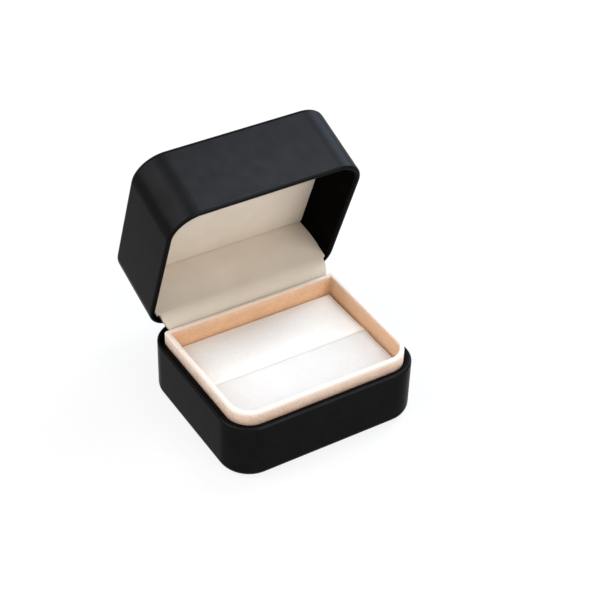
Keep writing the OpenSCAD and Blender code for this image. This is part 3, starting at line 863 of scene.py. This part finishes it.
def start_roll(name, low, high, corner_y):
    """A roll's box between two corners; its upright edges before corner_y are round."""
    piece = start_piece(name, low, high)
    if corner_y is not None:
        choose_edges(piece, lambda a, b: near(a.x, b.x) and near(a.y, b.y) and a.y < corner_y)
        bpy.ops.mesh.bevel(offset=PAD_CORNER, segments=PAD_SEGMENTS, affect="EDGES")
    choose_edges(piece, lambda a, b: near(a.z, high.z) and near(b.z, high.z)
                 and near(a.y, b.y) and abs(a.y - slit_y) < MM)
    bpy.ops.mesh.bevel(offset=SLIT_EDGE, segments=SLIT_SEGMENTS, affect="EDGES")
    leave_edit()
    apply_modifier(piece, "BEVEL", width=ROLL_END, segments=ROLL_END_SEGMENTS,
                   limit_method="ANGLE", angle_limit=ROLL_END_ANGLE)
    return piece


# %% [markdown]
# The foot of each roll and its side in the slit are held while it swells, because they are glued
# down there. It may bulge towards the collar and upwards, and not over the slit. Smoothing and
# one subdivision then take away the net's steps.

# %% Ring pad
ROLL_CROWN = 0.4 * MM
PAD_START_OUT = 0.04 * MM
PAD_START_UP = 0.1 * MM
PAD_SWELL = 0.28 * MM
PAD_PRESS = 0.12 * MM
HELD_BY_SLIT = 0.25 * MM
PAD_SMOOTHING = 80
FRONT_CORNERS_BEFORE = -10 * MM


def ring_roll(name, y_low, y_high, corner_y, finish, *nodes):
    """One roll of the ring pad between two depths; its corners before corner_y are round."""
    low = Vector((pad_low.x, y_low, pad_low.z))
    high = Vector((pad_high.x, y_high, pad_high.z - ROLL_CROWN))
    start_low = low + Vector((-PAD_START_OUT, 0 if y_low == slit_y else -PAD_START_OUT, 0))
    start_high = high + Vector((PAD_START_OUT, 0 if y_high == slit_y else PAD_START_OUT,
                                PAD_START_UP))
    piece = start_roll(name, start_low, start_high, corner_y)
    lowest = Vector((low.x - PAD_PRESS, slit_y if y_low == slit_y else y_low - PAD_PRESS, low.z))
    highest = Vector((high.x + PAD_PRESS, slit_y if y_high == slit_y else y_high + PAD_PRESS,
                      high.z + PAD_SWELL))
    blow_up(piece, lambda co: co.z < low.z + MM or abs(co.y - slit_y) < HELD_BY_SLIT,
            lowest, highest, PAD_SWELL)
    apply_modifier(piece, "SMOOTH", factor=0.5, iterations=1)
    apply_modifier(piece, "SUBSURF", levels=1, render_levels=1)
    add_relief(piece, name, PAD_LUMPS, PAD_RELIEF)
    smooth(piece, PAD_SMOOTHING)
    hand_over(piece, "base", "pad_velvet", finish, *nodes)
    print(name, "reaches z", round(max(v.co.z for v in piece.data.vertices) / MM, 2), "mm")


ring_roll("ring_roll_front", pad_low.y, slit_y, FRONT_CORNERS_BEFORE, pad_plush,
          "pad_foam_front")
ring_roll("ring_roll_rear", slit_y, pad_high.y, None, lit_rear_plush,
          "pad_foam_rear", "pad_velvet")

# %% [markdown]
# The lid's panel is card with the lining drawn tight over it and turned up at the edges. It is
# modelled as an open tray, while the lid is shut and the panel lies level. A stretched fabric
# still bellies out over its padding. Cloth simulation would find that too, but for so little it
# is simpler to inset the flat face three times, each ring a little prouder than the last.

# %% Lining cloth
LINING_SEGMENTS = 14
LINING_EDGE = 0.6 * MM
LINING_EDGE_SEGMENTS = 5
LINING_TURN_UP = 1.5 * MM
LINING_RING = 2 * MM
LINING_BELLY = (0.16, 0.10, 0.05)
LINING_THICKNESS = 0.35 * MM
FLAT = 0.99
lining_corner = CORNER_RADIUS - (lid_high.x - lining_high.x)

tray_high = Vector((lining_high.x, lining_high.y, lining_low.z + LINING_TURN_UP))
lining_cloth = start_piece("lining_cloth", lining_low, tray_high)
choose_edges(lining_cloth, lambda a, b: near(a.x, b.x) and near(a.y, b.y) and a.y < 0)
bpy.ops.mesh.bevel(offset=lining_corner, segments=LINING_SEGMENTS, affect="EDGES")
choose_faces(lining_cloth, lambda c, n: n.z > STRAIGHT)
bpy.ops.mesh.delete(type="FACE")
choose_brink(lining_cloth, lining_low.z)
bpy.ops.mesh.bevel(offset=LINING_EDGE, segments=LINING_EDGE_SEGMENTS, affect="EDGES")
choose_faces(lining_cloth, lambda c, n: n.z < -FLAT and near(c.z, lining_low.z))
for prouder in LINING_BELLY:
    bpy.ops.mesh.inset(thickness=LINING_RING, depth=prouder * MM)
leave_edit()
apply_modifier(lining_cloth, "SOLIDIFY", thickness=LINING_THICKNESS, offset=-1)
smooth(lining_cloth, CLOTH_SMOOTHING)
move_mesh(lining_cloth, swing(-shut_turn))
hand_over(lining_cloth, "lid", "lining_cover", lining_weave, "lining_cover")

# %% [markdown]
# The flap hides the hinge. It runs from a crease at the back of the panel down to the collar and
# curls behind it, so that it slides there when the lid turns. The curl has to be an arc about
# the hinge line, with the radius that the collar leaves. The flat stretch is the line from the
# crease that just touches this arc, and the place where it does is worked out first.

# %% Where the flap starts to curl
COLLAR_GAP = 0.05 * MM
CREASE_BACK = 0.1 * MM
flap_low, flap_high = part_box("flap_cover")
flap_radius = hinge_point.y - collar_high.y - COLLAR_GAP
crease = Vector((0, flap_high.y - CREASE_BACK, flap_high.z))
to_crease = crease - hinge_point
to_crease.x = 0
reach = math.acos(flap_radius / to_crease.length)
tangent_turn = math.atan2(to_crease.z, to_crease.y) + reach
tangent = hinge_point + flap_radius * Vector((0, math.cos(tangent_turn), math.sin(tangent_turn)))
print("flap radius", round(flap_radius / MM, 2), "mm, starts to curl at", tuple(tangent))

# %% [markdown]
# A straight edge lies along the crease. It is cut into columns, extruded down the flat stretch
# row by row, and then spun about the hinge line, which gives the curl its exact radius.

# %% Flap cloth
FLAP_CURL = math.radians(55)
FLAP_STEPS = 14
FLAP_COLUMNS = 40

bpy.ops.object.select_all(action="DESELECT")
bpy.ops.mesh.primitive_plane_add(size=1, location=crease)
flap_cloth = bpy.context.object
flap_cloth.name = "flap_cloth"
flap_cloth.scale = (flap_high.x - flap_low.x, MM, 1)
bpy.ops.object.transform_apply(location=True, rotation=True, scale=True)
bpy.ops.object.mode_set(mode="EDIT")
choose_edges(flap_cloth, lambda a, b: near(a.y, b.y) and a.y > crease.y)
bpy.ops.mesh.delete(type="VERT")
bpy.ops.mesh.select_mode(type="EDGE")
bpy.ops.mesh.select_all(action="SELECT")
bpy.ops.transform.translate(value=(0, MM / 2, 0))
bpy.ops.mesh.subdivide(number_cuts=FLAP_COLUMNS - 1)
for step in range(FLAP_STEPS):
    bpy.ops.mesh.extrude_region_move(
        TRANSFORM_OT_translate={"value": (tangent - crease) / FLAP_STEPS})
bpy.ops.mesh.spin(steps=FLAP_STEPS, angle=-FLAP_CURL, center=hinge_point, axis=(1, 0, 0))
leave_edit()
print("the flap has", len(flap_cloth.data.polygons), "faces")

# %% [markdown]
# In the shut box the flap lies between the walls of the base and the lid, with their round back
# corners. So this helper turns a place to where it is when the box is shut, and gives half the
# width between the walls. The two insets are a wall and the play beside it, and just above the
# base's rim the smaller one of the lid takes over.

# %% Room for the flap
LID_INSET = 1.75 * MM
BASE_INSET = 2.85 * MM
INSET_STEP = 0.7 * MM


def room_beside(place):
    """Half the width that the shut box leaves for the flap at that place."""
    shut = swing(shut_turn) @ place
    over = min(max((shut.z - base_high.z) / INSET_STEP, 0), 1)
    inset = BASE_INSET + (LID_INSET - BASE_INSET) * over
    radius = CORNER_RADIUS - inset
    past_corner = shut.y - (base_high.y - CORNER_RADIUS)
    narrower = 0
    if past_corner > 0:
        narrower = radius - math.sqrt(max(radius ** 2 - past_corner ** 2, 0))
    return base_high.x - inset - narrower


print("room in the lid's corner:", round(room_beside(crease) / MM, 2), "mm to each side")

# %% [markdown]
# The board under the flap is springy, so the flat stretch bows forward a little. Each row is
# pushed out along the stretch's own normal: most in the middle, and hardly at all near the
# crease and the curl, where it has to run on smoothly. Every row is also drawn in to the room
# that it has.

# %% Bow the flap
FLAP_BELLY = 0.5 * MM
FLAP_THICKNESS = 0.3 * MM
along = (tangent - crease).normalized()
outward = Vector((0, along.z, -along.y))
half_width = flap_high.x
for vertex in flap_cloth.data.vertices:
    vertex.co.x *= min(room_beside(vertex.co) / half_width, 1)
    down = (vertex.co - crease).dot(along) / (tangent - crease).length
    if 0 < down < 1:
        vertex.co += outward * FLAP_BELLY * math.sin(math.pi * down) ** 2
bpy.ops.object.select_all(action="DESELECT")
flap_cloth.select_set(True)
bpy.context.view_layer.objects.active = flap_cloth
if sum((p.normal.dot(outward) for p in flap_cloth.data.polygons)) < 0:
    flap_cloth.data.flip_normals()
apply_modifier(flap_cloth, "SOLIDIFY", thickness=FLAP_THICKNESS, offset=-1)
smooth(flap_cloth, CLOTH_SMOOTHING)
hand_over(flap_cloth, "lid", "flap_cover", lit_flap_weave, "flap_cover")

# %% [markdown]
# The box stands on white without a horizon. A white floor alone would turn grey further out, and
# its edge would show. So for the camera the floor mostly shines white by itself, and the rest is
# real floor, which takes the soft shadow near the box. The shining share rises with distance. A
# light path node gives it only to camera rays and mirrored ones, so it sheds no light.

# %% Floor
FLOOR_SIZE = 6
FLOOR_WHITE = (0.86, 0.86, 0.86, 1)
FLOOR_NEAR = 0.15
FLOOR_FAR = 1.2
SHINE_NEAR = 0.85


def seen_or_mirrored(tree):
    """1 for what the camera sees itself, in a mirror or through glass, and 0 for light."""
    path = tree.nodes.new("ShaderNodeLightPath")
    total = path.outputs["Is Camera Ray"]
    for ray in ("Is Glossy Ray", "Is Transmission Ray"):
        either = tree.nodes.new("ShaderNodeMath")
        either.operation = "MAXIMUM"
        tree.links.new(total, either.inputs[0])
        tree.links.new(path.outputs[ray], either.inputs[1])
        total = either.outputs["Value"]
    return total


def pale_floor():
    """Real floor mixed with its own white shine, whose share rises with distance."""
    look = Shading("pale_floor")
    look.set(Base_Color=FLOOR_WHITE, Roughness=0.9, Specular_IOR_Level=0.1)
    white = look.nodes.new("ShaderNodeEmission")
    white.inputs["Color"].default_value = (1, 1, 1, 1)
    distance = look.nodes.new("ShaderNodeVectorMath")
    distance.operation = "LENGTH"
    look.join(look.place, distance.inputs[0])
    far = look.nodes.new("ShaderNodeMapRange")
    far.inputs["From Min"].default_value = FLOOR_NEAR
    far.inputs["From Max"].default_value = FLOOR_FAR
    far.inputs["To Min"].default_value = SHINE_NEAR
    far.inputs["To Max"].default_value = 1.0
    look.join(distance.outputs["Value"], far.inputs["Value"])
    share = look.nodes.new("ShaderNodeMath")
    share.operation = "MULTIPLY"
    look.join(far.outputs["Result"], share.inputs[1])
    mix = look.nodes.new("ShaderNodeMixShader")
    look.join(seen_or_mirrored(look.material.node_tree), share.inputs[0])
    look.join(share.outputs["Value"], mix.inputs["Fac"])
    look.join(look.surface.outputs["BSDF"], mix.inputs[1])
    look.join(white.outputs["Emission"], mix.inputs[2])
    look.join(mix.outputs["Shader"], look.nodes["Material Output"].inputs["Surface"])
    return look.material


bpy.ops.object.select_all(action="DESELECT")
bpy.ops.mesh.primitive_plane_add(size=FLOOR_SIZE, location=(0, 0, 0))
floor = bpy.context.object
floor.name = "floor"
floor.data.materials.append(pale_floor())
print("floor is", floor.dimensions.x, "m wide")

# %% [markdown]
# Black leather shows little more than what it mirrors. So most lamps are placed by reflection:
# seen from the camera, each face of the lid mirrors one direction, and a lamp stands there. Two
# broad, nearly white ones in front and on the left light the pad and the lining. The smaller
# ones are cool, like the sky in a window: high on the left for the lid's left corner, high on
# the right for its front, two lower ones for its right shoulder, and one nearly overhead.

# %% Lamps
LAMP_DISTANCE = 0.9


def soft_lamp(name, azimuth, height, size, power, colour):
    """A square lamp that faces the box; 0 is straight in front and 90 on the right."""
    lamp_data = bpy.data.lights.new(name, "AREA")
    lamp_data.size = size
    lamp_data.energy = power
    lamp_data.color = colour
    lamp = bpy.data.objects.new(name, lamp_data)
    bpy.context.scene.collection.objects.link(lamp)
    turn = math.radians(azimuth)
    rise = math.radians(height)
    away = Vector((math.sin(turn) * math.cos(rise), -math.cos(turn) * math.cos(rise),
                   math.sin(rise)))
    lamp.location = aim + away * LAMP_DISTANCE
    lamp.rotation_euler = away.to_track_quat("Z", "Y").to_euler()


soft_lamp("front_lamp", 15, 33, size=0.6, power=4.1, colour=(1.0, 0.99, 0.97))
soft_lamp("left_lamp", -100, 34, size=0.8, power=4.4, colour=(1.0, 0.99, 0.98))
soft_lamp("corner_lamp", -105, 64, size=0.4, power=1.3, colour=(0.90, 0.94, 1.0))
soft_lamp("zenith_lamp", 110, 83, size=0.34, power=0.9, colour=(0.90, 0.94, 1.0))
soft_lamp("top_lamp", 102, 65, size=0.24, power=2.1, colour=(0.88, 0.93, 1.0))
soft_lamp("shoulder_lamp", 104, 42, size=0.34, power=1.5, colour=(0.82, 0.90, 1.0))
soft_lamp("window_lamp", 108, 22, size=0.40, power=4.2, colour=(0.66, 0.80, 1.0))

# %% [markdown]
# An even sky fills the shadows. The camera sees it in full white, so that it goes on where the
# floor ends, while the box gets a fraction of its light. The same light path test splits them.

# %% Sky
SKY_LIGHT = 0.28
world = bpy.data.worlds.new("sky")
world.use_nodes = True
bpy.context.scene.world = world
sky = world.node_tree.nodes["Background"]
sky.inputs["Color"].default_value = (1, 1, 1, 1)
strength = world.node_tree.nodes.new("ShaderNodeMapRange")
strength.inputs["To Min"].default_value = SKY_LIGHT
strength.inputs["To Max"].default_value = 1.0
world.node_tree.links.new(seen_or_mirrored(world.node_tree), strength.inputs["Value"])
world.node_tree.links.new(strength.outputs["Result"], sky.inputs["Strength"])
bpy.context.scene.view_settings.view_transform = "Standard"
print("the sky lights with", SKY_LIGHT)
